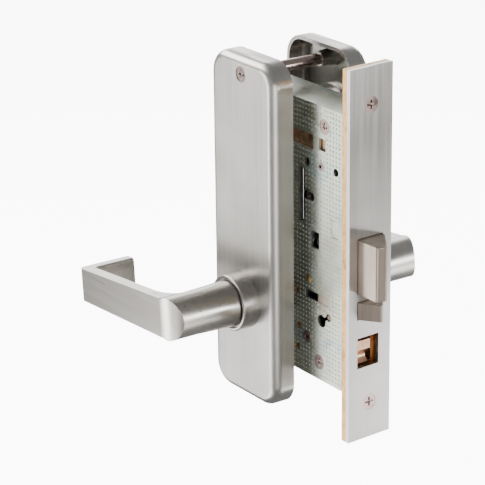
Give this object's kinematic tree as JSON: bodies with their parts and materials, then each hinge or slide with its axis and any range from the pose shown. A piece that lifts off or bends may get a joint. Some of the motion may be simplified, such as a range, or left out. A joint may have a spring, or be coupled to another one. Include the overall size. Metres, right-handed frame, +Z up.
{
  "type": "mortise lock",
  "caption": "Mortise lock with a bevelled armoured front, sprung latchbolt and guard bolt, front toggle, return levers on long escutcheons and an outside key cylinder.",
  "frame": {"origin": "centre of the armoured front's outer face, on the middle plane of the case", "axes": "+X out of the door edge the way the bolts project, +Y through the door towards its outside, +Z up"},
  "size_m": [0.1746, 0.1634, 0.2032],
  "materials": {
    "satin_stainless": "satin stainless, vertically brushed",
    "cast_stainless": "satin cast stainless",
    "zinc_sheet": "zinc plated, dimpled sheet",
    "dichromate_steel": "yellow dichromate on steel",
    "bolt_stainless": "brushed stainless with a warm cast",
    "bronze": "dull bronze",
    "brass": "machined brass",
    "screw_steel": "plated screw steel",
    "spring_steel": "bright spring wire"
  },
  "bodies": {
    "lock_case": {"armored_front": "satin_stainless", "inner_front": "dichromate_steel", "front_screws": "screw_steel", "case_body": "zinc_sheet", "case_cover": "zinc_sheet", "cover_screws": "screw_steel", "cover_eyelets": "screw_steel", "cover_rivets": "brass", "guide_tab": "zinc_sheet", "bolt_guide": "zinc_sheet", "latch_guide": "zinc_sheet", "auxiliary_guide": "zinc_sheet", "wire_spring": "spring_steel", "slot_pin": "screw_steel", "keyhole_stud": "screw_steel", "latch_spring": "spring_steel", "auxiliary_spring": "spring_steel", "deadlock_pin": "screw_steel", "inside_hub_spring": "spring_steel", "outside_hub_spring": "spring_steel", "inside_collar": "satin_stainless", "outside_collar": "satin_stainless", "inside_escutcheon": "satin_stainless", "outside_escutcheon": "satin_stainless", "mounting_post": "screw_steel", "trim_screw": "screw_steel", "toggle_housing": "bronze", "toggle_pin": "screw_steel", "stop_guide": "zinc_sheet", "cylinder_body": "cast_stainless", "cylinder_ring": "satin_stainless", "cylinder_bushing": "brass", "clamp_screw": "screw_steel"},
    "inside_handle": {"inside_lever": "cast_stainless", "inside_spindle": "screw_steel", "inside_hub": "zinc_sheet"},
    "outside_handle": {"outside_lever": "cast_stainless", "outside_spindle": "screw_steel", "outside_hub": "zinc_sheet"},
    "latch": {"latchbolt": "bolt_stainless", "latch_tail": "bolt_stainless"},
    "guard_bolt": {"auxiliary_bolt": "bolt_stainless", "auxiliary_tail": "bolt_stainless"},
    "deadlock": {"deadlock_lever": "zinc_sheet"},
    "toggle": {"toggle_rocker": "bronze"},
    "stop": {"stop_slide": "zinc_sheet"},
    "key_cylinder": {"key_plug": "brass", "cylinder_cam": "brass"},
    "key_retractor": {"key_slide": "bronze"}
  },
  "joints": [
    {"name": "inside_lever_turn", "type": "hinge", "parent": "lock_case", "child": "inside_handle", "pos_m": [-0.06985, -0.05, -0.0382], "axis": [0, -1, 0], "range_deg": [0, 41], "stiffness_Nm_per_rad": 1.2, "springref_deg": -28.65},
    {"name": "outside_lever_turn", "type": "hinge", "parent": "lock_case", "child": "outside_handle", "pos_m": [-0.06985, 0.05, -0.0382], "axis": [0, -1, 0], "range_deg": [0, 41], "stiffness_Nm_per_rad": 1.2, "springref_deg": -28.65},
    {"name": "latch_slide", "type": "slide", "parent": "lock_case", "child": "latch", "axis": [-1, 0, 0], "range_m": [0, 0.0176], "stiffness_N_per_m": 250, "springref_m": -0.012, "deforming": ["latch_spring"]},
    {"name": "auxiliary_slide", "type": "slide", "parent": "lock_case", "child": "guard_bolt", "axis": [-1, 0, 0], "range_m": [0, 0.0108], "stiffness_N_per_m": 250, "springref_m": -0.01, "deforming": ["auxiliary_spring"]},
    {"name": "deadlock_turn", "type": "hinge", "parent": "lock_case", "child": "deadlock", "pos_m": [-0.0555, 0.0055, -0.019], "axis": [0, 1, 0], "range_deg": [0, 14.2]},
    {"name": "toggle_rock", "type": "hinge", "parent": "lock_case", "child": "toggle", "pos_m": [-0.0085, -0.004, -0.0523], "axis": [0, -1, 0], "range_deg": [0, 14]},
    {"name": "stop_travel", "type": "slide", "parent": "lock_case", "child": "stop", "axis": [1, 0, 0], "range_m": [0, 0.0023]},
    {"name": "key_turn", "type": "hinge", "parent": "lock_case", "child": "key_cylinder", "pos_m": [-0.06985, 0.02, 0.0589], "axis": [0, 1, 0], "range_deg": [0, 90]},
    {"name": "key_slide_travel", "type": "slide", "parent": "lock_case", "child": "key_retractor", "axis": [-1, 0, 0], "range_m": [0, 0.0141]}
  ],
  "couplings": [
    {"joint": "latch_slide", "follows": "inside_lever_turn", "m_per_rad": 0.024456},
    {"joint": "deadlock_turn", "follows": "auxiliary_slide", "rad_per_m": 22.625},
    {"joint": "stop_travel", "follows": "toggle_rock", "m_per_rad": 0.0090036},
    {"joint": "key_slide_travel", "follows": "key_turn", "m_per_rad": 0.0089127}
  ]
}
